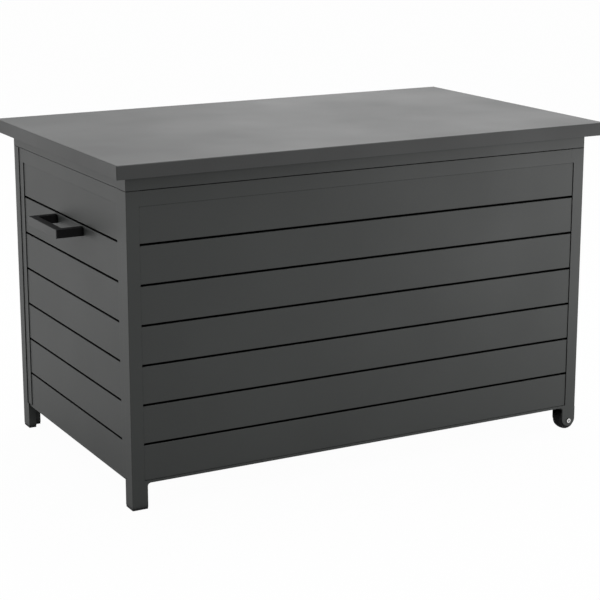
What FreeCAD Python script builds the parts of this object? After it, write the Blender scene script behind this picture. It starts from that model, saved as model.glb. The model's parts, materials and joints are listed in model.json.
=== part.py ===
import FreeCAD
import Part
import math
import os

os.makedirs("parts", exist_ok=True)
V = FreeCAD.Vector
FULL_TURN = 360.0
HEXAGON_SIDES = 6

# Outdoor cushion storage box in powder-coated aluminium, in millimetres.
# Origin on the ground under the middle of the box; +X along the front, to the wheel side;
# +Y towards the hinged rear; +Z up. The front faces -Y.

# Overall body
BODY_WIDTH = 1290.0
BODY_DEPTH = 745.0
EDGE_ROUND = 1.5
TUBE_WALL = 2.0

# Corner posts, an L section with milled rebates that take the boards and the side frames
POST_WIDTH = 40.0
POST_CORE_WALL = 2.0
SEAT_LIP_WIDTH = 8.0
SEAT_LIP_THICKNESS = 2.0
SIDE_SETBACK = 2.0

# Wall boards, a hollow section with a tongue behind each shadow groove
BOARD_COUNT = 7
BOARD_PITCH = 96.0
BOARD_THICKNESS = 14.0
BOARD_WALL = 1.2
BOARD_RECESS = 2.0
BOARD_END_GAP = 0.6
BOARD_EDGE = 0.8
GROOVE_WIDTH = 5.0
TONGUE_THICKNESS = 3.0
TONGUE_LAP = 8.0
TONGUE_BACK = 1.0
TONGUE_SIDE_PLAY = 0.5
TONGUE_END_PLAY = 1.0

# Rails
TOP_RAIL_HEIGHT = 36.0
TOP_RAIL_RISE = 30.0
RAIL_TOE_HEIGHT = 6.0
BOTTOM_TUBE_DEPTH = 20.0
BOTTOM_TUBE_HEIGHT = 30.0
LEG_GUSSET_RADIUS = 8.0

# Side frame stiles
STILE_WIDTH = 26.0
STILE_JOINT_GAP = 1.5
STILE_PLAY = 1.0

# Floor
FLOOR_THICKNESS = 2.0
FLOOR_PLAY = 1.0
BEARER_WIDTH = 30.0
BEARER_OFFSET = 210.0

# Plastic caps in the post ends
FOOT_CAP_HEIGHT = 5.0
CAP_INSET = 0.5
FOOT_CAP_ROUND = 2.0
PLUG_PLAY = 0.3
PLUG_LENGTH = 12.0

# Lid
LID_OVERHANG = 35.0
LID_EDGE_HEIGHT = 33.0
LID_SHEET = 1.5
LID_EDGE_BEVEL = 1.5
PARTING_GAP = 2.0
COLLAR_HEIGHT = 34.0
COLLAR_THICKNESS = 18.0
COLLAR_BEVEL = 1.0
LINER_THICKNESS = 1.0
LINER_LAP = 10.0
BRACE_WIDTH = 30.0
BRACE_OFFSET = 340.0
BRACE_END_PLAY = 2.0
CAP_TO_COLLAR = 0.3

# Lid hinges
HINGE_SPACING = 900.0
HINGE_LENGTH = 80.0
HINGE_KNUCKLES = 3
KNUCKLE_RADIUS = 5.5
KNUCKLE_CLEARANCE = 0.5
KNUCKLE_PLAY = 0.3
PIN_RADIUS = 3.0
PIN_PLAY = 0.06
LEAF_THICKNESS = 2.5
LEAF_MARGIN = 3.0

# Gas struts; with both pivots at STRUT_RADIUS from the hinge axis, a strut turns by half the lid's angle
STRUT_RADIUS = 250.0
STRUT_CLEARANCE = 3.0
CYLINDER_RADIUS = 9.0
CYLINDER_WALL = 1.5
NECK_LENGTH = 6.0
ROD_SHOWING = 10.0
ROD_RADIUS = 4.0
ROD_FOOT_ROOM = 55.0
SLIDE_PLAY = 0.3
EYE_RADIUS = 8.0
EYE_THICKNESS = 8.0
STUD_RADIUS = 4.0
STUD_PLAY = 0.06
STUD_SHOULDER_RADIUS = 6.0
STUD_TIP = 3.0
STUD_PLATE_SIZE = 24.0
STUD_PLATE_THICKNESS = 3.0

# Carrying handles
HANDLE_LENGTH = 192.0
HANDLE_REACH = 68.0
HANDLE_HEIGHT = 21.0
HANDLE_BAR = 18.0
HANDLE_BOARD = 6
HANDLE_DROP = 4.0
HANDLE_COVER = 2.5
HANDLE_SCREW_RADIUS = 2.5
HANDLE_SCREW_BITE = 22.0
SCREW_HEAD_RADIUS = 4.6
SCREW_HEAD_LENGTH = 3.5
SCREW_PLAY = 0.15

# Wheels, each in a fork on the end of a right-hand post
WHEEL_RADIUS = 26.0
WHEEL_HEADROOM = 8.0
WHEEL_BORE_PLAY = 0.06
FORK_OVERHANG = 4.0
FORK_CHEEK = 4.0
FORK_END_RISE = 5.0
AXLE_RADIUS = 4.0
AXLE_HOLE_PLAY = 0.15
AXLE_SIDE_PLAY = 0.6
AXLE_HEAD_RADIUS = 6.0
AXLE_HEAD_LENGTH = 3.0
AXLE_SOCKET_RADIUS = 2.6
AXLE_SOCKET_DEPTH = 1.8
AXLE_NUT_RADIUS = 7.5
AXLE_NUT_LENGTH = 6.0

# Levels and planes that the pieces share
WALL_BOTTOM = 2 * WHEEL_RADIUS + WHEEL_HEADROOM + FORK_CHEEK
PARTING_LEVEL = WALL_BOTTOM + BOARD_COUNT * BOARD_PITCH + TOP_RAIL_RISE
RAIL_UNDERSIDE = PARTING_LEVEL - TOP_RAIL_HEIGHT
TOE_TOP = WALL_BOTTOM + RAIL_TOE_HEIGHT
TUBE_TOP = WALL_BOTTOM + BOTTOM_TUBE_HEIGHT
SEAT_DEPTH = BOARD_RECESS + BOARD_THICKNESS
POST_FLANGE = SEAT_DEPTH + SEAT_LIP_THICKNESS
POST_FACE = POST_WIDTH - SEAT_LIP_WIDTH
SIDE_SEAT = SIDE_SETBACK + SEAT_DEPTH
SIDE_FLANGE = SIDE_SETBACK + POST_FLANGE
FORK_DEPTH = POST_WIDTH + FORK_OVERHANG
TUBE_BACK = POST_FLANGE + BOTTOM_TUBE_DEPTH
STILE_START = POST_FACE + STILE_JOINT_GAP
STILE_END = STILE_START + STILE_WIDTH
COLLAR_BOTTOM = PARTING_LEVEL + PARTING_GAP
LID_UNDERSIDE = COLLAR_BOTTOM + COLLAR_HEIGHT
LID_TOP = LID_UNDERSIDE + LID_EDGE_HEIGHT
LINER_BOTTOM = LID_UNDERSIDE + LID_SHEET
BRACE_BOTTOM = LINER_BOTTOM + LINER_THICKNESS
HINGE_Y = BODY_DEPTH / 2 + KNUCKLE_RADIUS + KNUCKLE_CLEARANCE
HINGE_Z = PARTING_LEVEL + PARTING_GAP / 2
HANDLE_TOP = WALL_BOTTOM + HANDLE_BOARD * BOARD_PITCH - GROOVE_WIDTH / 2 - HANDLE_DROP
HANDLE_BOTTOM = HANDLE_TOP - HANDLE_HEIGHT
STRUT_X = BODY_WIDTH / 2 - SIDE_FLANGE - CYLINDER_RADIUS - STRUT_CLEARANCE
STRUT_NECK_END = EYE_RADIUS + NECK_LENGTH

# Each wall as its running direction, its inward direction and the middle of its outer face;
# the side walls stand back from the faces of the posts
WALLS = {
    "front": (V(1, 0, 0), V(0, 1, 0), V(0, -BODY_DEPTH / 2, 0)),
    "rear": (V(1, 0, 0), V(0, -1, 0), V(0, BODY_DEPTH / 2, 0)),
    "left": (V(0, 1, 0), V(1, 0, 0), V(SIDE_SETBACK - BODY_WIDTH / 2, 0, 0)),
    "right": (V(0, 1, 0), V(-1, 0, 0), V(BODY_WIDTH / 2 - SIDE_SETBACK, 0, 0)),
}
HALF_RUN = {"front": BODY_WIDTH / 2, "rear": BODY_WIDTH / 2, "left": BODY_DEPTH / 2, "right": BODY_DEPTH / 2}
CORNERS = {"front_left": (-1, -1), "front_right": (1, -1), "rear_left": (-1, 1), "rear_right": (1, 1)}


def save(name, solids):
    """Write one node: a single solid, or a group of separate ones."""
    shape = solids[0] if len(solids) == 1 else Part.makeCompound(solids)
    shape.exportStep("parts/" + name + ".step")


def outline(corners):
    """A closed wire through (point, radius) corners, with a tangent arc where the radius isn't zero."""
    stops = []
    for index, (corner, radius) in enumerate(corners):
        back = (corners[index - 1][0] - corner).normalize()
        ahead = (corners[(index + 1) % len(corners)][0] - corner).normalize()
        if radius:
            half = back.getAngle(ahead) / 2
            setback = radius / math.tan(half)
            centre = corner + (back + ahead).normalize() * (radius / math.sin(half))
            middle = centre + (corner - centre).normalize() * radius
            stops.append((corner + back * setback, middle, corner + ahead * setback))
        else:
            stops.append((corner, None, corner))
    edges = []
    for index, (enter, middle, leave) in enumerate(stops):
        if middle:
            edges.append(Part.Arc(enter, middle, leave).toShape())
        edges.append(Part.LineSegment(leave, stops[(index + 1) % len(stops)][0]).toShape())
    return Part.Wire(edges)


def prism(corners, direction):
    """A solid swept from the outline through the corners."""
    return Part.Face(outline(corners)).extrude(direction)


def block(low, high):
    """An upright box between two corners given in any order."""
    start = V(min(low.x, high.x), min(low.y, high.y), min(low.z, high.z))
    return Part.makeBox(abs(high.x - low.x), abs(high.y - low.y), abs(high.z - low.z), start)


def hexagon(centre, across, axis, radius, length):
    """A hexagonal prism with two of its edges level with its centre along a horizontal direction."""
    corners = []
    for side in range(HEXAGON_SIDES):
        turn = math.radians(side * FULL_TURN / HEXAGON_SIDES)
        corners.append((centre + (across * math.cos(turn) + V(0, 0, math.sin(turn))) * radius, 0))
    return prism(corners, axis * length)


def on_wall(wall, run, depth, level):
    """A point given by its place along a wall, its depth behind the outer face and its level."""
    along, inward, base = WALLS[wall]
    return base + along * run + inward * depth + V(0, 0, level)


def wall_block(wall, runs, depths, levels):
    """A box in wall coordinates."""
    return block(on_wall(wall, runs[0], depths[0], levels[0]), on_wall(wall, runs[1], depths[1], levels[1]))


def wall_bar(wall, runs, section):
    """A bar along a wall from its section, a list of (depth, level, radius)."""
    corners = [(on_wall(wall, runs[0], depth, level), radius) for depth, level, radius in section]
    return prism(corners, WALLS[wall][0] * (runs[1] - runs[0]))


def at_corner(corner, across, back, level):
    """A point given from a body corner: across along X and back along Y, both inwards."""
    side_x, side_y = CORNERS[corner]
    return V(side_x * (BODY_WIDTH / 2 - across), side_y * (BODY_DEPTH / 2 - back), level)


def corner_prism(corner, section, levels):
    """An upright bar at a body corner from its section, a list of (across, back, radius)."""
    corners = [(at_corner(corner, across, back, levels[0]), radius) for across, back, radius in section]
    return prism(corners, V(0, 0, levels[1] - levels[0]))


def corner_block(corner, acrosses, backs, levels):
    """A box in corner coordinates."""
    near = at_corner(corner, acrosses[0], backs[0], levels[0])
    return block(near, at_corner(corner, acrosses[1], backs[1], levels[1]))


def angle_section(reach, inset, outer_round):
    """The L of a post, drawn inset all round; its leg along the side is the thicker by the setback."""
    near, far = inset, reach - inset
    across, back = SIDE_FLANGE - inset, POST_FLANGE - inset
    return [(near, near, outer_round), (far, near, 0), (far, back, 0), (across, back, 0), (across, far, 0),
            (near, far, 0)]


# Boards

def board_levels(index):
    """The lower and upper edge of a board's face above the ground."""
    lower = WALL_BOTTOM + index * BOARD_PITCH + GROOVE_WIDTH / 2
    upper = WALL_BOTTOM + (index + 1) * BOARD_PITCH - GROOVE_WIDTH / 2
    return max(lower, TOE_TOP) if index == 0 else lower, RAIL_UNDERSIDE if index == BOARD_COUNT - 1 else upper


def board(wall, index, half_run):
    """One wall board with its shadow-groove tongue on top and the socket for the next tongue below.

    Its front edges are eased beside a groove and square where it meets a rail.
    """
    lower, upper = board_levels(index)
    back = SEAT_DEPTH
    tongue_back = back - TONGUE_BACK
    tongue_front = tongue_back - TONGUE_THICKNESS
    socket_front = tongue_front - TONGUE_SIDE_PLAY
    socket_top = lower + TONGUE_LAP + TONGUE_END_PLAY
    eased = BOARD_RECESS + BOARD_EDGE
    if index > 0:
        section = [(back, socket_top, 0), (socket_front, socket_top, 0), (socket_front, lower, 0),
                   (eased, lower, 0), (BOARD_RECESS, lower + BOARD_EDGE, 0)]
    else:
        section = [(back, lower, 0), (BOARD_RECESS, lower, 0)]
    if index < BOARD_COUNT - 1:
        tip = upper + GROOVE_WIDTH + TONGUE_LAP
        section += [(BOARD_RECESS, upper - BOARD_EDGE, 0), (eased, upper, 0), (tongue_front, upper, 0),
                    (tongue_front, tip, 0), (tongue_back, tip, 0), (tongue_back, upper, 0)]
    else:
        section.append((BOARD_RECESS, upper, 0))
    section.append((back, upper, 0))
    solid = wall_bar(wall, (-half_run, half_run), section)
    chamber_depths = (BOARD_RECESS + BOARD_WALL, back - BOARD_WALL)
    chamber_levels = ((socket_top if index > 0 else lower) + BOARD_WALL, upper - BOARD_WALL)
    return solid.cut(wall_block(wall, (-half_run, half_run), chamber_depths, chamber_levels))


def board_half_run(wall):
    """Half the length of a wall's boards, which stop short of the post or the stile."""
    edge = POST_FACE if wall in ("front", "rear") else STILE_END
    return HALF_RUN[wall] - edge - BOARD_END_GAP


def handle_screw_points(wall):
    """Where the two screws of a wall's handle pass its board."""
    level = (HANDLE_BOTTOM + HANDLE_TOP) / 2
    run = (HANDLE_LENGTH - HANDLE_BAR) / 2
    return [(-run, level), (run, level)]


def wall_pin(wall, run, level, depths, radius):
    """A round bar square to a wall between two depths."""
    start = on_wall(wall, run, depths[0], level)
    return Part.makeCylinder(radius, depths[1] - depths[0], start, WALLS[wall][1])


def make_boards():
    for wall in ("front", "left", "right"):
        for index in range(BOARD_COUNT):
            solid = board(wall, index, board_half_run(wall))
            if wall != "front" and index == HANDLE_BOARD - 1:
                hole_radius = HANDLE_SCREW_RADIUS + SCREW_PLAY
                for run, level in handle_screw_points(wall):
                    solid = solid.cut(wall_pin(wall, run, level, (0, POST_FLANGE), hole_radius))
            save(wall + "_board_" + str(index + 1), [solid])
    save("rear_boards", [board("rear", index, board_half_run("rear")) for index in range(BOARD_COUNT)])


# Posts

def axle_at(corner, back):
    """A point on the wheel axle of a right-hand post."""
    return at_corner(corner, POST_WIDTH / 2, back, WHEEL_RADIUS)


def axle_pin(corner, backs, radius):
    """A round bar on the wheel axle between two depths behind the outer face."""
    inward = V(0, -CORNERS[corner][1], 0)
    return Part.makeCylinder(radius, backs[1] - backs[0], axle_at(corner, backs[0]), inward)


def fork(corner):
    """The two round-ended cheeks that carry the wheel, and the plate that joins them to the post.

    The rounding is centred above the axle, so that the wheel shows below it.
    """
    pieces = [corner_block(corner, (0, POST_WIDTH), (0, FORK_DEPTH), (WALL_BOTTOM - FORK_CHEEK, WALL_BOTTOM))]
    for backs in ((0, FORK_CHEEK), (FORK_DEPTH - FORK_CHEEK, FORK_DEPTH)):
        cheek = corner_block(corner, (0, POST_WIDTH), backs, (WHEEL_RADIUS + FORK_END_RISE, WALL_BOTTOM))
        end = axle_pin(corner, backs, POST_WIDTH / 2)
        end.translate(V(0, 0, FORK_END_RISE))
        pieces.append(cheek.fuse(end))
    solid = pieces[0].fuse(pieces[1:])
    return solid.cut(axle_pin(corner, (0, FORK_DEPTH), AXLE_RADIUS + AXLE_HOLE_PLAY))


def post(corner):
    """A corner post with its rebates, and a fork where it carries a wheel."""
    wheeled = CORNERS[corner][0] > 0
    foot = WALL_BOTTOM if wheeled else FOOT_CAP_HEIGHT
    solid = corner_prism(corner, angle_section(POST_WIDTH, 0, EDGE_ROUND), (foot, PARTING_LEVEL))
    rebate = (POST_FACE, POST_WIDTH)
    solid = solid.cut(corner_block(corner, rebate, (0, SEAT_DEPTH), (TOE_TOP, RAIL_UNDERSIDE)))
    solid = solid.cut(corner_block(corner, (0, SIDE_SEAT), rebate, (TOE_TOP, PARTING_LEVEL)))
    core_foot = foot + POST_CORE_WALL if wheeled else foot
    solid = solid.cut(corner_prism(corner, core_section(0), (core_foot, PARTING_LEVEL)))
    if wheeled:
        solid = solid.fuse(fork(corner)).removeSplitter()
    return solid


def core_section(play):
    """The L-shaped hollow in a post, drawn smaller by the play for a plug."""
    return angle_section(POST_FACE, POST_CORE_WALL + play, 0)


def end_cap(corner, plate_levels, plug_levels, plate_round):
    """A plastic cap over a post end with its plug in the hollow."""
    plate = corner_prism(corner, angle_section(POST_WIDTH, CAP_INSET, plate_round), plate_levels)
    plug = corner_prism(corner, core_section(PLUG_PLAY), plug_levels)
    return plate.fuse(plug)


def make_posts():
    for corner in CORNERS:
        save("post_" + corner, [post(corner)])
    foot_levels = (0, FOOT_CAP_HEIGHT)
    foot_plug = (FOOT_CAP_HEIGHT, FOOT_CAP_HEIGHT + PLUG_LENGTH)
    left_corners = ("front_left", "rear_left")
    save("foot_caps", [end_cap(corner, foot_levels, foot_plug, FOOT_CAP_ROUND) for corner in left_corners])
    top_levels = (PARTING_LEVEL, COLLAR_BOTTOM - CAP_TO_COLLAR)
    top_plug = (PARTING_LEVEL - PLUG_LENGTH, PARTING_LEVEL)
    save("post_top_caps", [end_cap(corner, top_levels, top_plug, 0) for corner in CORNERS])


# Rails and stiles

def tube_core(wall, runs, depths, levels):
    """The hollow of a rail that is cut open at both ends."""
    inner_depths = (depths[0] + TUBE_WALL, depths[1] - TUBE_WALL)
    inner_levels = (levels[0] + TUBE_WALL, levels[1] - TUBE_WALL)
    return wall_block(wall, runs, inner_depths, inner_levels)


def long_top_rail(wall):
    """The top rail of the front or rear, between the posts, with the lip that backs the top board."""
    half = HALF_RUN[wall] - POST_WIDTH
    lip_foot = RAIL_UNDERSIDE - SEAT_LIP_WIDTH
    section = [(0, RAIL_UNDERSIDE, 0), (0, PARTING_LEVEL, 0), (POST_FLANGE, PARTING_LEVEL, 0),
               (POST_FLANGE, lip_foot, 0), (SEAT_DEPTH, lip_foot, 0), (SEAT_DEPTH, RAIL_UNDERSIDE, 0)]
    core = tube_core(wall, (-half, half), (0, POST_FLANGE), (RAIL_UNDERSIDE, PARTING_LEVEL))
    return wall_bar(wall, (-half, half), section).cut(core)


def side_top_rail(wall):
    """The top rail of a side frame, between its stiles, with the same lip."""
    half = HALF_RUN[wall] - STILE_END
    lip_half = half - SEAT_LIP_WIDTH
    runs = (-half, half)
    depths = (0, SEAT_DEPTH)
    levels = (RAIL_UNDERSIDE, PARTING_LEVEL)
    tube = wall_block(wall, runs, depths, levels).cut(tube_core(wall, runs, depths, levels))
    lip_levels = (RAIL_UNDERSIDE - SEAT_LIP_WIDTH, PARTING_LEVEL)
    lip = wall_block(wall, (-lip_half, lip_half), (SEAT_DEPTH, POST_FLANGE), lip_levels)
    return tube.fuse(lip).removeSplitter()


def bottom_rail(wall):
    """A bottom rail: a tube behind the boards, a toe under them and a gusset into each leg.

    On the long walls the toe and the gussets are level with the faces of the posts, on the
    side walls with the boards.
    """
    side_wall = wall in ("left", "right")
    half = HALF_RUN[wall] - POST_WIDTH
    tube_half = HALF_RUN[wall] - (TUBE_BACK if side_wall else SIDE_FLANGE)
    gusset_half = HALF_RUN[wall] - FORK_DEPTH if wall == "right" else half
    levels = (WALL_BOTTOM, TUBE_TOP)
    tube_depths = (POST_FLANGE, TUBE_BACK)
    tube = wall_block(wall, (-tube_half, tube_half), tube_depths, levels)
    tube = tube.cut(tube_core(wall, (-tube_half, tube_half), tube_depths, levels))
    toe_depths = (BOARD_RECESS if side_wall else 0, POST_FLANGE)
    toe = wall_block(wall, (-half, half), toe_depths, (WALL_BOTTOM, TOE_TOP))
    low = WALL_BOTTOM - LEG_GUSSET_RADIUS
    for side in (-1, 1):
        edge = side * gusset_half
        inner = side * (gusset_half - LEG_GUSSET_RADIUS)
        gusset = wall_block(wall, (edge, inner), toe_depths, (low, WALL_BOTTOM))
        toe = toe.fuse(gusset.cut(wall_pin(wall, inner, low, toe_depths, LEG_GUSSET_RADIUS)))
    return tube.fuse(toe).removeSplitter()


def stile_lip():
    """Where the lip on the back of a stile starts and ends, from the end of the side."""
    return POST_WIDTH + STILE_PLAY, STILE_END + SEAT_LIP_WIDTH


def stile(wall, side):
    """One upright of a side frame, with the lip that backs the board ends."""
    half = HALF_RUN[wall]
    outer, inner = half - STILE_START, half - STILE_END
    lip_outer, lip_inner = half - stile_lip()[0], half - stile_lip()[1]
    levels = (TOE_TOP, PARTING_LEVEL)
    tube = wall_block(wall, (side * outer, side * inner), (0, SEAT_DEPTH), levels)
    core_runs = (side * (outer - TUBE_WALL), side * (inner + TUBE_WALL))
    tube = tube.cut(wall_block(wall, core_runs, (TUBE_WALL, SEAT_DEPTH - TUBE_WALL), levels))
    lip = wall_block(wall, (side * lip_outer, side * lip_inner), (SEAT_DEPTH, POST_FLANGE), levels)
    return tube.fuse(lip).removeSplitter()


def make_rails():
    for wall in ("front", "rear"):
        save("top_rail_" + wall, [long_top_rail(wall)])
        save("bottom_rail_" + wall, [bottom_rail(wall)])
    for wall in ("left", "right"):
        save("top_rail_" + wall, [side_top_rail(wall)])
        save("bottom_rail_" + wall, [bottom_rail(wall)])
        save("side_stiles_" + wall, [stile(wall, side) for side in (-1, 1)])


# Floor

def make_floor():
    half_x = BODY_WIDTH / 2 - SIDE_FLANGE - FLOOR_PLAY
    half_y = BODY_DEPTH / 2 - POST_FLANGE - FLOOR_PLAY
    save("floor_panel", [block(V(-half_x, -half_y, TUBE_TOP), V(half_x, half_y, TUBE_TOP + FLOOR_THICKNESS))])
    reach = BODY_DEPTH / 2 - TUBE_BACK
    bearers = []
    for side in (-1, 1):
        low = V(side * BEARER_OFFSET - BEARER_WIDTH / 2, -reach, WALL_BOTTOM)
        high = V(side * BEARER_OFFSET + BEARER_WIDTH / 2, reach, TUBE_TOP)
        wall = V(TUBE_WALL, 0, TUBE_WALL)
        bearers.append(block(low, high).cut(block(low + wall, high - wall)))
    save("floor_bearers", bearers)


# Handles

def handle(wall):
    """A U-shaped carrying handle of square bar, screwed to its board from inside."""
    half = HANDLE_LENGTH / 2
    front = HANDLE_COVER - HANDLE_REACH
    inner_half, inner_front = half - HANDLE_BAR, front + HANDLE_BAR
    shape = [(-half, BOARD_RECESS), (-half, front), (half, front), (half, BOARD_RECESS),
             (inner_half, BOARD_RECESS), (inner_half, inner_front), (-inner_half, inner_front),
             (-inner_half, BOARD_RECESS)]
    corners = [(on_wall(wall, run, depth, HANDLE_BOTTOM), 0) for run, depth in shape]
    solid = prism(corners, V(0, 0, HANDLE_HEIGHT))
    for run, screw_level in handle_screw_points(wall):
        depths = (BOARD_RECESS - HANDLE_SCREW_BITE - SCREW_PLAY, BOARD_RECESS)
        solid = solid.cut(wall_pin(wall, run, screw_level, depths, HANDLE_SCREW_RADIUS + SCREW_PLAY))
    return solid


def handle_cover(wall):
    """The coated strip on the outer face of a handle."""
    runs = (-HANDLE_LENGTH / 2, HANDLE_LENGTH / 2)
    return wall_block(wall, runs, (-HANDLE_REACH, HANDLE_COVER - HANDLE_REACH), (HANDLE_BOTTOM, HANDLE_TOP))


def handle_screw(wall, run, level):
    """A hexagon-head screw through the board into a handle arm."""
    shank = wall_pin(wall, run, level, (BOARD_RECESS - HANDLE_SCREW_BITE, SEAT_DEPTH), HANDLE_SCREW_RADIUS)
    along, inward, _ = WALLS[wall]
    head = hexagon(on_wall(wall, run, SEAT_DEPTH, level), along, inward, SCREW_HEAD_RADIUS, SCREW_HEAD_LENGTH)
    return shank.fuse(head)


def make_handles():
    screws = []
    for wall in ("left", "right"):
        save("handle_" + wall, [handle(wall)])
        screws += [handle_screw(wall, run, level) for run, level in handle_screw_points(wall)]
    save("handle_covers", [handle_cover(wall) for wall in ("left", "right")])
    save("handle_screws", screws)


# Wheels and axles

def wheel(corner):
    """A solid plastic wheel with a bore for its axle, that fills its fork."""
    backs = (FORK_CHEEK + AXLE_SIDE_PLAY, FORK_DEPTH - FORK_CHEEK - AXLE_SIDE_PLAY)
    return axle_pin(corner, backs, WHEEL_RADIUS).cut(axle_pin(corner, backs, AXLE_RADIUS + WHEEL_BORE_PLAY))


def axle_bolt(corner):
    """A polished bolt with a socket head through the fork, with its closed nut on the inner cheek."""
    head = axle_pin(corner, (-AXLE_HEAD_LENGTH, 0), AXLE_HEAD_RADIUS)
    socket_backs = (-AXLE_HEAD_LENGTH, AXLE_SOCKET_DEPTH - AXLE_HEAD_LENGTH)
    head = head.cut(axle_pin(corner, socket_backs, AXLE_SOCKET_RADIUS))
    shank = axle_pin(corner, (0, FORK_DEPTH), AXLE_RADIUS)
    inward = V(0, -CORNERS[corner][1], 0)
    nut = hexagon(axle_at(corner, FORK_DEPTH), V(1, 0, 0), inward, AXLE_NUT_RADIUS, AXLE_NUT_LENGTH)
    return head.fuse([shank, nut]).removeSplitter()


def make_wheels():
    save("wheel_front", [wheel("front_right")])
    save("wheel_rear", [wheel("rear_right")])
    save("axle_bolts", [axle_bolt("front_right"), axle_bolt("rear_right")])


# Lid

def lid_panel():
    """The folded sheet tray of the lid, with its edge turned in underneath."""
    half_x, half_y = BODY_WIDTH / 2 + LID_OVERHANG, BODY_DEPTH / 2 + LID_OVERHANG
    solid = block(V(-half_x, -half_y, LID_UNDERSIDE), V(half_x, half_y, LID_TOP))
    upright = [edge for edge in solid.Edges if edge.BoundBox.ZLength > LID_EDGE_HEIGHT / 2]
    top = [edge for edge in solid.Edges if edge.BoundBox.ZMin > LID_TOP - LID_EDGE_HEIGHT / 2]
    solid = solid.makeChamfer(LID_EDGE_BEVEL, upright + top)
    sheet = V(LID_SHEET, LID_SHEET, LID_SHEET)
    solid = solid.cut(block(V(-half_x, -half_y, LID_UNDERSIDE) + sheet, V(half_x, half_y, LID_TOP) - sheet))
    open_x, open_y = BODY_WIDTH / 2 - COLLAR_THICKNESS, BODY_DEPTH / 2 - COLLAR_THICKNESS
    return solid.cut(block(V(-open_x, -open_y, LID_UNDERSIDE), V(open_x, open_y, LINER_BOTTOM)))


def collar():
    """The channel frame under the lid, flush with the body and open upwards against the panel."""
    def inset_block(inset, levels):
        corner = V(BODY_WIDTH / 2 - inset, BODY_DEPTH / 2 - inset, 0)
        return block(V(0, 0, levels[0]) - corner, V(0, 0, levels[1]) + corner)
    levels = (COLLAR_BOTTOM, LID_UNDERSIDE)
    bar = inset_block(0, levels)
    upright = [edge for edge in bar.Edges if edge.BoundBox.ZLength > COLLAR_HEIGHT / 2]
    bar = bar.makeChamfer(COLLAR_BEVEL, upright)
    channel_levels = (COLLAR_BOTTOM + TUBE_WALL, LID_UNDERSIDE)
    channel = inset_block(TUBE_WALL, channel_levels)
    channel = channel.cut(inset_block(COLLAR_THICKNESS - TUBE_WALL, channel_levels))
    return bar.cut(inset_block(COLLAR_THICKNESS, levels)).cut(channel)


def make_lid():
    save("lid_panel", [lid_panel()])
    save("lid_frame", [collar()])
    liner_x = BODY_WIDTH / 2 - COLLAR_THICKNESS + LINER_LAP
    liner_y = BODY_DEPTH / 2 - COLLAR_THICKNESS + LINER_LAP
    save("lid_liner", [block(V(-liner_x, -liner_y, LINER_BOTTOM), V(liner_x, liner_y, BRACE_BOTTOM))])
    reach = BODY_DEPTH / 2 + LID_OVERHANG - LID_SHEET - BRACE_END_PLAY
    brace_top = LID_TOP - LID_SHEET
    braces = []
    for x in (-BRACE_OFFSET, 0, BRACE_OFFSET):
        low, high = V(x - BRACE_WIDTH / 2, -reach, BRACE_BOTTOM), V(x + BRACE_WIDTH / 2, reach, brace_top)
        wall = V(TUBE_WALL, 0, TUBE_WALL)
        braces.append(block(low, high).cut(block(low + wall, high - wall)))
    save("lid_braces", braces)


# Hinges

def knuckle_runs(owner):
    """The stretches along the hinge that one leaf's knuckles fill; the body leaf has the odd ones."""
    width = HINGE_LENGTH / HINGE_KNUCKLES
    runs = []
    for index in range(HINGE_KNUCKLES):
        if index % 2 == owner:
            start = index * width - HINGE_LENGTH / 2
            runs.append((start + KNUCKLE_PLAY / 2, start + width - KNUCKLE_PLAY / 2))
    return runs


def hinge_bar(start, length, radius):
    """A round bar on the hinge axis."""
    return Part.makeCylinder(radius, length, V(start, HINGE_Y, HINGE_Z), V(1, 0, 0))


def hinge_leaf(x, owner):
    """One leaf of a butt hinge on the rear face: owner 0 is on the body, 1 on the lid."""
    face = BODY_DEPTH / 2
    clear = KNUCKLE_RADIUS + KNUCKLE_CLEARANCE
    near, far = HINGE_Z - clear, RAIL_UNDERSIDE + LEAF_MARGIN
    if owner:
        near, far = HINGE_Z + clear, LID_UNDERSIDE - LEAF_MARGIN
    start = x - HINGE_LENGTH / 2
    base = block(V(start, face, near), V(start + HINGE_LENGTH, face + LEAF_THICKNESS, far))
    pieces = []
    for low, high in knuckle_runs(owner):
        pieces.append(hinge_bar(x + low, high - low, KNUCKLE_RADIUS))
        pieces.append(block(V(x + low, face, HINGE_Z), V(x + high, face + LEAF_THICKNESS, near)))
    bore = hinge_bar(start, HINGE_LENGTH, PIN_RADIUS + PIN_PLAY)
    return base.fuse(pieces).cut(bore).removeSplitter()


def make_hinges():
    places = (-HINGE_SPACING / 2, HINGE_SPACING / 2)
    save("hinge_leaves_body", [hinge_leaf(x, 0) for x in places])
    save("hinge_leaves_lid", [hinge_leaf(x, 1) for x in places])
    save("hinge_pins", [hinge_bar(x - HINGE_LENGTH / 2, HINGE_LENGTH, PIN_RADIUS) for x in places])


# Gas struts

def strut_pivots():
    """The body pivot and the lid pivot of a strut in the YZ plane, equally far from the hinge axis."""
    body_y = BODY_DEPTH / 2 - sum(stile_lip()) / 2
    body_z = HINGE_Z - math.sqrt(STRUT_RADIUS ** 2 - (HINGE_Y - body_y) ** 2)
    lid_z = COLLAR_BOTTOM + COLLAR_HEIGHT / 2
    lid_y = HINGE_Y - math.sqrt(STRUT_RADIUS ** 2 - (lid_z - HINGE_Z) ** 2)
    return (body_y, body_z), (lid_y, lid_z)


def along_strut(shape, side):
    """Turn a shape built up the Z axis to run from the body pivot to the lid pivot."""
    (body_y, body_z), (lid_y, lid_z) = strut_pivots()
    lean = math.degrees(math.atan2(body_y - lid_y, lid_z - body_z))
    shape.rotate(V(0, 0, 0), V(1, 0, 0), lean)
    shape.translate(V(side * STRUT_X, body_y, body_z))
    return shape


def strut_length():
    (body_y, body_z), (lid_y, lid_z) = strut_pivots()
    return math.hypot(lid_y - body_y, lid_z - body_z)


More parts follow.
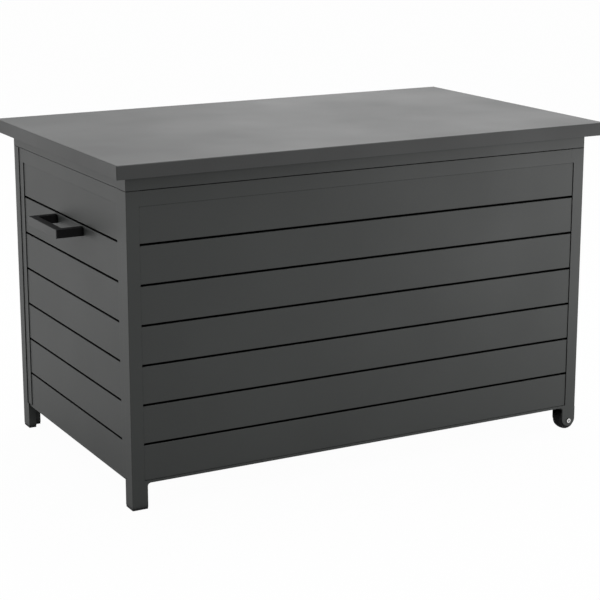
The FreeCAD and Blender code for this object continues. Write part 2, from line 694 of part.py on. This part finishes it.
def eye(level, neck_end):
    """A flat eye on the strut's axis with its neck, its bore along X."""
    start = V(-EYE_THICKNESS / 2, 0, level)
    ring = Part.makeCylinder(EYE_RADIUS, EYE_THICKNESS, start, V(1, 0, 0))
    half = EYE_THICKNESS / 2
    neck = block(V(-half, -half, level), V(half, half, neck_end))
    bore = Part.makeCylinder(STUD_RADIUS + STUD_PLAY, EYE_THICKNESS, start, V(1, 0, 0))
    return ring.fuse(neck).cut(bore)


def strut_cylinder(side):
    """The strut's pressure tube with its eye at the body pivot."""
    top = strut_length() - STRUT_NECK_END - ROD_SHOWING
    tube = Part.makeCylinder(CYLINDER_RADIUS, top - STRUT_NECK_END, V(0, 0, STRUT_NECK_END))
    bore_start = STRUT_NECK_END + CYLINDER_WALL
    bore = Part.makeCylinder(ROD_RADIUS + SLIDE_PLAY, top - bore_start, V(0, 0, bore_start))
    return along_strut(tube.cut(bore).fuse(eye(0, STRUT_NECK_END)).removeSplitter(), side)


def strut_rod(side):
    """The strut's rod with its eye at the lid pivot."""
    length = strut_length()
    shoulder = length - STRUT_NECK_END
    foot = STRUT_NECK_END + CYLINDER_WALL + ROD_FOOT_ROOM
    rod = Part.makeCylinder(ROD_RADIUS, shoulder - foot, V(0, 0, foot))
    return along_strut(rod.fuse(eye(length, shoulder)).removeSplitter(), side)


def strut_stud(side, place, wall_depth):
    """A pivot stud on its plate: a shoulder and the journal for the eye, with a tip for its clip."""
    inward = V(-side, 0, 0)
    seat = V(side * (BODY_WIDTH / 2 - wall_depth), place[0], place[1])
    half = STUD_PLATE_SIZE / 2
    plate = block(seat - V(0, half, half), seat + V(0, half, half) + inward * STUD_PLATE_THICKNESS)
    eye_middle = BODY_WIDTH / 2 - wall_depth - STRUT_X
    eye_outer = eye_middle - EYE_THICKNESS / 2 - SLIDE_PLAY
    tip = eye_middle + EYE_THICKNESS / 2 + STUD_TIP
    shoulder = Part.makeCylinder(STUD_SHOULDER_RADIUS, eye_outer, seat, inward)
    return plate.fuse([shoulder, Part.makeCylinder(STUD_RADIUS, tip, seat, inward)]).removeSplitter()


def make_struts():
    body_place, lid_place = strut_pivots()
    for name, side in (("left", -1), ("right", 1)):
        save("strut_cylinder_" + name, [strut_cylinder(side)])
        save("strut_rod_" + name, [strut_rod(side)])
    save("strut_studs_body", [strut_stud(side, body_place, SIDE_FLANGE) for side in (-1, 1)])
    save("strut_studs_lid", [strut_stud(side, lid_place, COLLAR_THICKNESS) for side in (-1, 1)])


make_boards()
make_posts()
make_rails()
make_floor()
make_handles()
make_wheels()
make_lid()
make_hinges()
make_struts()
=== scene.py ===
import json
import math

import bmesh
import bpy
from mathutils import Matrix, Vector

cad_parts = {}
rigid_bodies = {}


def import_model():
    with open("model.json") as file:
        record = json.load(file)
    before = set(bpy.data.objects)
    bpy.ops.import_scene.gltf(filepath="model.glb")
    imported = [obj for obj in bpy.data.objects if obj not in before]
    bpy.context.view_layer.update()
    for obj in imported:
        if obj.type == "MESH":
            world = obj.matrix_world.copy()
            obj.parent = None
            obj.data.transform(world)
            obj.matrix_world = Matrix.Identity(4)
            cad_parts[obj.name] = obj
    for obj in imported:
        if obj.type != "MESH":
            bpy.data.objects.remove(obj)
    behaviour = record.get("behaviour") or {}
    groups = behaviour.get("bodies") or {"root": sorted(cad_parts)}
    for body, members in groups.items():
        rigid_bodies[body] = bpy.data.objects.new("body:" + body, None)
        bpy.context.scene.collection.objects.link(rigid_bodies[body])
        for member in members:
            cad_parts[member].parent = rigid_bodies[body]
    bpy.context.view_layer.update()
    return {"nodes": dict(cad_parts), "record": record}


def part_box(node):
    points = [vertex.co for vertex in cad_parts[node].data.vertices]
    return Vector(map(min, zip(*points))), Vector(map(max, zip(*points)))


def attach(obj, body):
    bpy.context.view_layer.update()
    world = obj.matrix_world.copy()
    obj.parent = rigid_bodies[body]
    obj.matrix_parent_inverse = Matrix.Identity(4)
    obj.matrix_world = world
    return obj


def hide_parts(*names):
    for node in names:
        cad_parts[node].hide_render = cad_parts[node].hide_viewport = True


# The looks of an outdoor cushion storage box in powder-coated aluminium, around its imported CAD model.
# Lengths are in metres, powers in watts and colours linear.

# Camera at the photograph's viewing angle
CAMERA_PLACE = Vector((-2.1640, -3.9974, 1.5147))
CAMERA_TARGET = Vector((0.0061, 0.0, 0.4345))
CAMERA_LENS = 105.62
CAMERA_SENSOR = 36.0
CAMERA_SHIFT_Y = -0.05

# Each lamp's place, the point it faces, its width and height, and its power
LAMPS = {
    "overhead": ((0.6, 0.6, 4.2), (0, 0, 0.6), (3.5, 3.0), 140),
    "left_rear": ((-3.2, 2.6, 0.4), (-0.645, 0, 0.6), (1.0, 0.8), 15),
    "right_low": ((2.2, -2.4, 0.15), (0.6, -0.37, 0.5), (0.9, 0.25), 20.5),
    "back_right": ((3.2, 4.2, 2.2), (0.3, 0.2, 0.8), (3.0, 1.8), 16),
}

# World and floor: white where the camera or a gloss sees them, dimmer in the light that they give.
# The two shares say how much of the floor is glow there, and the rest is a matt paint that takes shadows.
SEEN_RAYS = ("Is Camera Ray", "Is Glossy Ray", "Is Transmission Ray")
DIFFUSE_WORLD = 0.67
FLOOR_SIZE = 60.0
FLOOR_COLOUR = (0.16, 0.16, 0.16)
FLOOR_ROUGHNESS = 0.9
FLOOR_GLOW = 1.085
FLOOR_GLOW_SHARE = 0.9
MIRROR_GLOW_SHARE = 0.8
# How far the painted shade under and around the box reaches in the floor's glow that gloss mirrors
FLOOR_PAINTED_SHADE_REACH = 0.9

# Colours
FRAME_GREY = (0.041, 0.044, 0.0425)
BOARD_GREY = (0.043, 0.046, 0.0445)
LID_GREY = (0.046, 0.0475, 0.047)
LINING_GREY = (0.090, 0.092, 0.090)
HANDLE_BLACK = (0.010, 0.010, 0.0105)
PLASTIC_BLACK = (0.010, 0.010, 0.0105)
WHEEL_BLACK = (0.009, 0.009, 0.0095)
STRUT_BLACK = (0.013, 0.013, 0.014)
STEEL = (0.78, 0.78, 0.77)
HINGE_STEEL = (0.46, 0.46, 0.45)
CHROME = (0.74, 0.74, 0.75)

# Noise: its roughness, and the middle part of its values that a pattern stretches
NOISE_ROUGHNESS = 0.55
NOISE_MIDDLE = (0.3, 0.7)

# Powder coat: the size, height and strength of each pattern
GRAIN_SIZE = 0.0009
GRAIN_HEIGHT = 0.0001
GRAIN_STRENGTH = 0.5
PEEL_SIZE = 0.007
PEEL_HEIGHT = 0.0004
PEEL_STRENGTH = 0.06
CLOUD_SIZE = 0.22
HAZE_SIZE = 0.30
SPECKLE = 0.10
EDGE_ROUND = 0.0008
EDGE_SAMPLES = 6

# Painted shade in grooves and joints: how far off a surface still darkens the colour, the openness over which
# the painted shade fades, and its depth
SHADE_SAMPLES = 8
GROOVE_REACH = 0.020
GROOVE_OPENNESS = (0.42, 0.82)
PAINTED_GROOVE_SHADE = 0.01
LEVEL_SLOPE = 0.95

# Moulded plastic
SPARK_SIZE = 0.0008
SPARK_HEIGHT = 0.0001
SPARK_STRENGTH = 0.5
PLASTIC_SPECK_SIZE = 0.0012
PLASTIC_SPECKLE = 0.15
PLASTIC_PATCH_SIZE = 0.02
PLASTIC_GLOSS_SWING = 0.05

# Metal: lines that vary its brightness, its roughness and its surface
LINE_SIZE = 0.0006
LINE_HEIGHT = 0.00003
LINE_STRENGTH = 0.4
LINE_BRIGHTNESS = (0.9, 1.08)
LINE_SMOOTHER = 0.06
LINE_ROUGHER = 0.08

# Small fasteners
SHARP_ANGLE = math.radians(35)
SCREW_STEPS = 24
SOCKET_SIDES = 6
# A button head of radius one: radius, height, and whether the row is the socket's polygon
BUTTON_HEAD = [
    (1.0, 0.0, False), (1.0, 0.12, False), (0.93, 0.30, False), (0.76, 0.44, False),
    (0.52, 0.52, False), (0.36, 0.53, True), (0.33, 0.50, True), (0.33, 0.20, True),
]
HINGE_LENGTH = 0.080
LEAF_THICKNESS = 0.0025
HINGE_SCREW_RADIUS = 0.0042
HINGE_SCREW_EDGE = 0.011
HINGE_SCREW_PITCH = 0.028
STUD_PLATE = 0.003
PLATE_SCREW_OFFSET = 0.0084
PLATE_SCREW_RADIUS = 0.0026
EYE_HALF = 0.004
CLIP_OUTER = 0.0066
CLIP_INNER = 0.0038
CLIP_THICKNESS = 0.0012
CLIP_PLAY = 0.0003
CLIP_GAP = math.radians(70)
CLIP_STEPS = 30

# Wheels
WHEEL_STEPS = 72
WHEEL_CROWN_STEPS = 18
WHEEL_BORE = 0.0041
WHEEL_HUB = 0.0095
WHEEL_RIM = 0.0165
WHEEL_FACE = 0.0185
WHEEL_DISH = 0.0025
WHEEL_EDGE = 0.0008
WHEEL_DRAFT = 0.0004
WHEEL_FULLNESS = 0.7


def node_tree(name):
    """A new material, its node tree and its shader."""
    material = bpy.data.materials.new(name)
    material.use_nodes = True
    tree = material.node_tree
    return material, tree, tree.nodes["Principled BSDF"]


def add(tree, kind, **values):
    """A node with its properties set."""
    node = tree.nodes.new(kind)
    for key, value in values.items():
        setattr(node, key, value)
    return node


def calc(tree, operation, first, second=None):
    """A Math node on one or two values, each a socket or a number."""
    node = add(tree, "ShaderNodeMath", operation=operation)
    for socket, value in zip(node.inputs, (first, second)):
        if isinstance(value, bpy.types.NodeSocket):
            tree.links.new(value, socket)
        elif value is not None:
            socket.default_value = value
    return node.outputs["Value"]


def rescale(tree, value, old, new):
    """The value moved from the old range to the new one and kept inside it."""
    node = add(tree, "ShaderNodeMapRange", clamp=True)
    for name, number in zip(("From Min", "From Max", "To Min", "To Max"), (*old, *new)):
        node.inputs[name].default_value = number
    tree.links.new(value, node.inputs["Value"])
    return node.outputs["Result"]


def noise(tree, size, detail, stretch=None):
    """Noise on the object's own coordinates, with features about size across, around one half."""
    texture = add(tree, "ShaderNodeTexNoise")
    texture.inputs["Scale"].default_value = 1.0 / size
    texture.inputs["Detail"].default_value = detail
    texture.inputs["Roughness"].default_value = NOISE_ROUGHNESS
    place = add(tree, "ShaderNodeTexCoord").outputs["Object"]
    if stretch:
        mapping = add(tree, "ShaderNodeMapping")
        mapping.inputs["Scale"].default_value = stretch
        tree.links.new(place, mapping.inputs["Vector"])
        place = mapping.outputs["Vector"]
    tree.links.new(place, texture.inputs["Vector"])
    return texture.outputs["Fac"]


def swing(tree, pattern, middle, reach):
    """A noise as a value that swings round a middle."""
    return rescale(tree, pattern, NOISE_MIDDLE, (middle - reach, middle + reach))


def tint(tree, colour, strength):
    """The colour times a varying strength."""
    node = add(tree, "ShaderNodeVectorMath", operation="SCALE")
    node.inputs[0].default_value = colour
    tree.links.new(strength, node.inputs["Scale"])
    return node.outputs["Vector"]


def soft_edges(tree):
    """The normal with every edge rounded by the coat's own thickness and the fold of the sheet."""
    node = add(tree, "ShaderNodeBevel", samples=EDGE_SAMPLES)
    node.inputs["Radius"].default_value = EDGE_ROUND
    return node.outputs["Normal"]


def bump(tree, height, distance, strength, normal=None):
    """The normal, or the given one, tilted by a height."""
    node = add(tree, "ShaderNodeBump")
    node.inputs["Strength"].default_value = strength
    node.inputs["Distance"].default_value = distance
    tree.links.new(height, node.inputs["Height"])
    if normal:
        tree.links.new(normal, node.inputs["Normal"])
    return node.outputs["Normal"]


def openness(tree, reach):
    """One where nothing stands within reach of the surface, zero where it is closed in."""
    node = add(tree, "ShaderNodeAmbientOcclusion", samples=SHADE_SAMPLES)
    node.inputs["Distance"].default_value = reach
    return node.outputs["AO"]


def painted_crevice_shade(tree, level_open=False):
    """A painted shade for the colour: one on open faces, falling to the painted groove shade deep in grooves
    and joints.

    With level_open, level faces get no painted shade at any depth, because the lid lifts off them.
    """
    shade = rescale(tree, openness(tree, GROOVE_REACH), GROOVE_OPENNESS, (PAINTED_GROOVE_SHADE, 1.0))
    if not level_open:
        return shade
    axes = add(tree, "ShaderNodeSeparateXYZ")
    tree.links.new(add(tree, "ShaderNodeTexCoord").outputs["Normal"], axes.inputs[0])
    level = calc(tree, "GREATER_THAN", calc(tree, "ABSOLUTE", axes.outputs["Z"]), LEVEL_SLOPE)
    return calc(tree, "MAXIMUM", shade, level)


def powder_coat(name, colour, gloss, cloud=0.06, specular=0.3, haze=0.02, level_open=False):
    """Fine-textured powder coat: clouded and speckled colour, grain and orange peel.

    Deep grooves get a painted shade: their colour and their reflection are darkened together, the latter
    through the metallic value.
    """
    material, tree, shader = node_tree(name)
    shader.inputs["Specular IOR Level"].default_value = specular
    clouds = swing(tree, noise(tree, CLOUD_SIZE, detail=2.0), 1, cloud)
    specks = swing(tree, noise(tree, GRAIN_SIZE, detail=1.0), 1, SPECKLE)
    # Painted shade in grooves and joints, darkening the colour and, through the metallic value, the
    # reflection
    shade = painted_crevice_shade(tree, level_open)
    strength = calc(tree, "MULTIPLY", calc(tree, "MULTIPLY", clouds, specks), shade)
    tree.links.new(calc(tree, "SUBTRACT", 1.0, shade), shader.inputs["Metallic"])
    tree.links.new(tint(tree, colour, strength), shader.inputs["Base Color"])
    rough = swing(tree, noise(tree, HAZE_SIZE, detail=2.0), gloss, haze)
    tree.links.new(rough, shader.inputs["Roughness"])
    peel = bump(tree, noise(tree, PEEL_SIZE, detail=1.0), PEEL_HEIGHT, PEEL_STRENGTH, soft_edges(tree))
    grain = bump(tree, noise(tree, GRAIN_SIZE, detail=2.0), GRAIN_HEIGHT, GRAIN_STRENGTH, peel)
    tree.links.new(grain, shader.inputs["Normal"])
    return material


def moulded_plastic(name, colour, gloss, specular):
    """Spark-eroded moulded plastic."""
    material, tree, shader = node_tree(name)
    shader.inputs["Specular IOR Level"].default_value = specular
    specks = swing(tree, noise(tree, PLASTIC_SPECK_SIZE, detail=2.0), 1, PLASTIC_SPECKLE)
    tree.links.new(tint(tree, colour, specks), shader.inputs["Base Color"])
    rough = swing(tree, noise(tree, PLASTIC_PATCH_SIZE, detail=3.0), gloss, PLASTIC_GLOSS_SWING)
    tree.links.new(rough, shader.inputs["Roughness"])
    sparks = bump(tree, noise(tree, SPARK_SIZE, detail=2.0), SPARK_HEIGHT, SPARK_STRENGTH)
    tree.links.new(sparks, shader.inputs["Normal"])
    return material


def metal(name, colour, gloss, stretch, painted_crevices=True):
    """Machined or drawn metal with fine lines, and a painted shade in its crevices unless it is turned off.
    """
    material, tree, shader = node_tree(name)
    shader.inputs["Metallic"].default_value = 1.0
    lines = noise(tree, LINE_SIZE, detail=3.0, stretch=stretch)
    strength = rescale(tree, lines, NOISE_MIDDLE, LINE_BRIGHTNESS)
    # Painted shade in the crevices: sockets and gaps darkened in the colour
    if painted_crevices:
        strength = calc(tree, "MULTIPLY", strength, painted_crevice_shade(tree))
    tree.links.new(tint(tree, colour, strength), shader.inputs["Base Color"])
    rough = rescale(tree, lines, NOISE_MIDDLE, (gloss - LINE_SMOOTHER, gloss + LINE_ROUGHER))
    tree.links.new(rough, shader.inputs["Roughness"])
    tree.links.new(bump(tree, lines, LINE_HEIGHT, LINE_STRENGTH), shader.inputs["Normal"])
    return material


def make_materials():
    """One material for each slot of the record."""
    return {
        "frame_coat": powder_coat("frame_coat", FRAME_GREY, gloss=0.46, level_open=True),
        "board_coat": powder_coat("board_coat", BOARD_GREY, gloss=0.48),
        "lid_coat": powder_coat("lid_coat", LID_GREY, gloss=0.50, cloud=0.09, haze=0.04),
        "lining": powder_coat("lining", LINING_GREY, gloss=0.55),
        "handle_black": powder_coat("handle_black", HANDLE_BLACK, gloss=0.68, specular=0.14),
        "black_plastic": moulded_plastic("black_plastic", PLASTIC_BLACK, gloss=0.62, specular=0.2),
        "wheel_black": moulded_plastic("wheel_black", WHEEL_BLACK, gloss=0.66, specular=0.2),
        "steel": metal("steel", STEEL, gloss=0.20, stretch=(1.0, 1.0, 1.0)),
        "hinge_steel": metal("hinge_steel", HINGE_STEEL, gloss=0.36, stretch=(0.05, 1.0, 1.0)),
        "strut_tube": powder_coat("strut_tube", STRUT_BLACK, gloss=0.35),
        # At rest the rods are hidden in their cylinders, so they get no painted crevice shade, and they still
        # have to be bright when they come out
        "strut_rod": metal("strut_rod", CHROME, gloss=0.14, stretch=(1.0, 0.3, 0.3), painted_crevices=False),
    }


def dress_frame(frame, materials):
    """Give every CAD node the material of its slot."""
    for subpart in frame["record"]["subparts"]:
        node = frame["nodes"][subpart["node"]]
        node.data.materials.clear()
        node.data.materials.append(materials[subpart["material_slot"]])


def piece_of(name, rings_list, material, body):
    """One mesh object from lists of rings: each list is a skin joined ring to ring, closed at both ends."""
    bm = bmesh.new()
    for rings in rings_list:
        layers = [[bm.verts.new(point) for point in ring] for ring in rings]
        count = len(layers[0])
        for lower, upper in zip(layers, layers[1:]):
            for index in range(count):
                after = (index + 1) % count
                bm.faces.new((lower[index], lower[after], upper[after], upper[index]))
        bm.faces.new(layers[0])
        bm.faces.new(layers[-1])
    bmesh.ops.recalc_face_normals(bm, faces=bm.faces)
    mesh = bpy.data.meshes.new(name)
    bm.to_mesh(mesh)
    bm.free()
    mesh.shade_smooth()
    mesh.set_sharp_from_angle(angle=SHARP_ANGLE)
    mesh.materials.append(material)
    piece = bpy.data.objects.new(name, mesh)
    bpy.context.scene.collection.objects.link(piece)
    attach(piece, body)
    return piece


def turned(centre, axis, profile, steps, sides=0):
    """Rings round an axis from (radius, height, flat) rows; a flat row is a polygon with the given sides."""
    across = axis.orthogonal().normalized()
    up = axis.cross(across)
    rings = []
    for radius, height, flat in profile:
        ring = []
        for step in range(steps):
            turn = 2 * math.pi * step / steps
            reach = radius
            if flat:
                sector = 2 * math.pi / sides
                reach = radius / math.cos(turn % sector - sector / 2)
            ring.append(centre + axis * height + (across * math.cos(turn) + up * math.sin(turn)) * reach)
        rings.append(ring)
    return rings


def button_screw(seat, axis, radius):
    """The rings of a button-head screw with a hexagon socket, standing on its seat."""
    rows = [(radius * reach, radius * height, flat) for reach, height, flat in BUTTON_HEAD]
    return turned(seat, axis, rows, SCREW_STEPS, SOCKET_SIDES)


def spring_clip(centre, axis, open_towards):
    """The rings of an open retaining ring snapped round a stud."""
    up = axis.cross(open_towards)
    middle = (CLIP_OUTER + CLIP_INNER) / 2
    half = (CLIP_OUTER - CLIP_INNER) / 2
    ease = CLIP_THICKNESS / 4
    section = [(-half, ease), (-half, CLIP_THICKNESS - ease), (-half + ease, CLIP_THICKNESS),
               (half - ease, CLIP_THICKNESS), (half, CLIP_THICKNESS - ease), (half, ease),
               (half - ease, 0.0), (-half + ease, 0.0)]
    rings = []
    for step in range(CLIP_STEPS + 1):
        turn = CLIP_GAP / 2 + (2 * math.pi - CLIP_GAP) * step / CLIP_STEPS
        outward = open_towards * math.cos(turn) + up * math.sin(turn)
        rings.append([centre + outward * (middle + reach) + axis * height for reach, height in section])
    return rings


def make_hinge_screws(materials):
    """Three screws in each leaf of both hinges."""
    for node, body, from_foot in (("hinge_leaves_body", "carcass", True), ("hinge_leaves_lid", "lid", False)):
        low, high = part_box(node)
        level = low[2] + HINGE_SCREW_EDGE if from_foot else high[2] - HINGE_SCREW_EDGE
        face = low[1] + LEAF_THICKNESS
        screws = []
        for middle in (low[0] + HINGE_LENGTH / 2, high[0] - HINGE_LENGTH / 2):
            for offset in (-HINGE_SCREW_PITCH, 0, HINGE_SCREW_PITCH):
                seat = Vector((middle + offset, face, level))
                screws.append(button_screw(seat, Vector((0, 1, 0)), HINGE_SCREW_RADIUS))
        piece_of("hinge_screws_" + body, screws, materials["steel"], body)


def make_strut_fixings(frame, materials):
    """A spring clip on each stud and two screws in each stud plate."""
    places = {joint["name"]: Vector(joint["pos_m"]) for joint in frame["record"]["behaviour"]["joints"]}
    for node, body, joint in (("strut_studs_body", "carcass", "strut_cylinder_%s_pivot"),
                              ("strut_studs_lid", "lid", "strut_rod_%s_pivot")):
        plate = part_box(node)[1][0] - STUD_PLATE
        clips, screws = [], []
        for name, side in (("left", -1), ("right", 1)):
            pivot = places[joint % name]
            inward = Vector((-side, 0, 0))
            clips.append(spring_clip(pivot + inward * (EYE_HALF + CLIP_PLAY), inward, Vector((0, 0, -1))))
            for offset in (-PLATE_SCREW_OFFSET, PLATE_SCREW_OFFSET):
                seat = Vector((side * plate, pivot.y + offset, pivot.z - offset))
                screws.append(button_screw(seat, inward, PLATE_SCREW_RADIUS))
        piece_of("strut_clips_" + body, clips, materials["steel"], body)
        piece_of("strut_plate_screws_" + body, screws, materials["steel"], body)


def wheel_profile(half_width, radius):
    """A barrel-shaped tread with rounded shoulders, and sides dished between hub and rim."""
    dish = half_width - WHEEL_DISH
    side = [(WHEEL_BORE, half_width, False), (WHEEL_HUB - WHEEL_EDGE, half_width, False),
            (WHEEL_HUB, half_width - WHEEL_EDGE, False), (WHEEL_HUB + WHEEL_DRAFT, dish, False),
            (WHEEL_RIM - WHEEL_DRAFT, dish, False), (WHEEL_RIM, half_width - WHEEL_EDGE, False),
            (WHEEL_RIM + WHEEL_EDGE, half_width, False)]
    crown = []
    for step in range(1, WHEEL_CROWN_STEPS):
        turn = math.pi * (step / WHEEL_CROWN_STEPS - 0.5)
        fall = (radius - WHEEL_FACE) * (1 - math.cos(turn) ** WHEEL_FULLNESS)
        crown.append((radius - fall, half_width * -math.sin(turn), False))
    far_side = [(reach, -height, False) for reach, height, _ in reversed(side)]
    return side + crown + far_side


def make_wheels(materials):
    """A moulded wheel in place of each plain CAD wheel."""
    for end in ("front", "rear"):
        low, high = [Vector(corner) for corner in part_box("wheel_" + end)]
        profile = wheel_profile((high.y - low.y) / 2, (high.z - low.z) / 2)
        rings = turned((low + high) / 2, Vector((0, 1, 0)), profile, WHEEL_STEPS)
        wheel = piece_of("wheel_tyre_" + end, [rings], materials["wheel_black"],
                         "wheel_" + end)
        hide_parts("wheel_" + end)


def ray_share(tree, kinds):
    """One where a ray is of one of the kinds, zero elsewhere."""
    path = add(tree, "ShaderNodeLightPath")
    share = path.outputs[kinds[0]]
    for kind in kinds[1:]:
        share = calc(tree, "MAXIMUM", share, path.outputs[kind])
    return share


def make_world():
    """White where it is seen or mirrored, dimmer where it lights."""
    world = bpy.data.worlds.new("studio")
    bpy.context.scene.world = world
    world.use_nodes = True
    tree = world.node_tree
    background = tree.nodes["Background"]
    background.inputs["Color"].default_value = (1, 1, 1, 1)
    strength = rescale(tree, ray_share(tree, SEEN_RAYS), (0.0, 1.0), (DIFFUSE_WORLD, 1.0))
    tree.links.new(strength, background.inputs["Strength"])


def make_floor():
    """A white floor that keeps a faint shadow, and whose mirrored glow has a painted shade under and around
    the box.
    """
    half = FLOOR_SIZE / 2
    mesh = bpy.data.meshes.new("floor")
    corners = [(-half, -half, 0), (half, -half, 0), (half, half, 0), (-half, half, 0)]
    mesh.from_pydata(corners, [], [(0, 1, 2, 3)])
    floor = bpy.data.objects.new("floor", mesh)
    bpy.context.scene.collection.objects.link(floor)
    material, tree, shader = node_tree("floor")
    shader.inputs["Base Color"].default_value = (*FLOOR_COLOUR, 1)
    shader.inputs["Roughness"].default_value = FLOOR_ROUGHNESS
    shader.inputs["Specular IOR Level"].default_value = 0.0
    glow = add(tree, "ShaderNodeEmission")
    glow.inputs["Strength"].default_value = FLOOR_GLOW
    seen = calc(tree, "MULTIPLY", ray_share(tree, SEEN_RAYS[:1]), FLOOR_GLOW_SHARE)
    mirrored = calc(tree, "MULTIPLY", ray_share(tree, SEEN_RAYS[1:]), MIRROR_GLOW_SHARE)
    # Painted shade: the glow that glossy rays see is dimmed where the floor is closed in, under and around
    # the box
    mirrored = calc(tree, "MULTIPLY", mirrored, openness(tree, FLOOR_PAINTED_SHADE_REACH))
    mix = add(tree, "ShaderNodeMixShader")
    tree.links.new(calc(tree, "MAXIMUM", seen, mirrored), mix.inputs["Fac"])
    tree.links.new(shader.outputs["BSDF"], mix.inputs[1])
    tree.links.new(glow.outputs["Emission"], mix.inputs[2])
    tree.links.new(mix.outputs["Shader"], tree.nodes["Material Output"].inputs["Surface"])
    mesh.materials.append(material)


def aim(thing, place, target):
    """Put a lamp or camera at a place, turned towards a point."""
    turn = (Vector(target) - Vector(place)).to_track_quat("-Z", "Y")
    thing.matrix_world = Matrix.Translation(place) @ turn.to_matrix().to_4x4()


def make_lamps():
    """Soft rectangular lamps that the camera doesn't see."""
    for name, (place, target, size, power) in LAMPS.items():
        light = bpy.data.lights.new(name, "AREA")
        light.shape = "RECTANGLE"
        light.size, light.size_y = size
        light.energy = power
        lamp = bpy.data.objects.new(name, light)
        bpy.context.scene.collection.objects.link(lamp)
        aim(lamp, place, target)
        lamp.visible_camera = False


def make_camera():
    """The camera at the photograph's viewing angle."""
    data = bpy.data.cameras.new("camera")
    data.sensor_width = CAMERA_SENSOR
    data.lens = CAMERA_LENS
    data.shift_y = CAMERA_SHIFT_Y
    camera = bpy.data.objects.new("camera", data)
    bpy.context.scene.collection.objects.link(camera)
    aim(camera, CAMERA_PLACE, CAMERA_TARGET)
    bpy.context.scene.camera = camera


for leftover in list(bpy.data.objects):
    bpy.data.objects.remove(leftover)
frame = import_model()
bpy.context.scene.view_settings.view_transform = "Standard"
make_camera()
make_world()
make_lamps()
make_floor()
materials = make_materials()
dress_frame(frame, materials)
make_hinge_screws(materials)
make_strut_fixings(frame, materials)
make_wheels(materials)
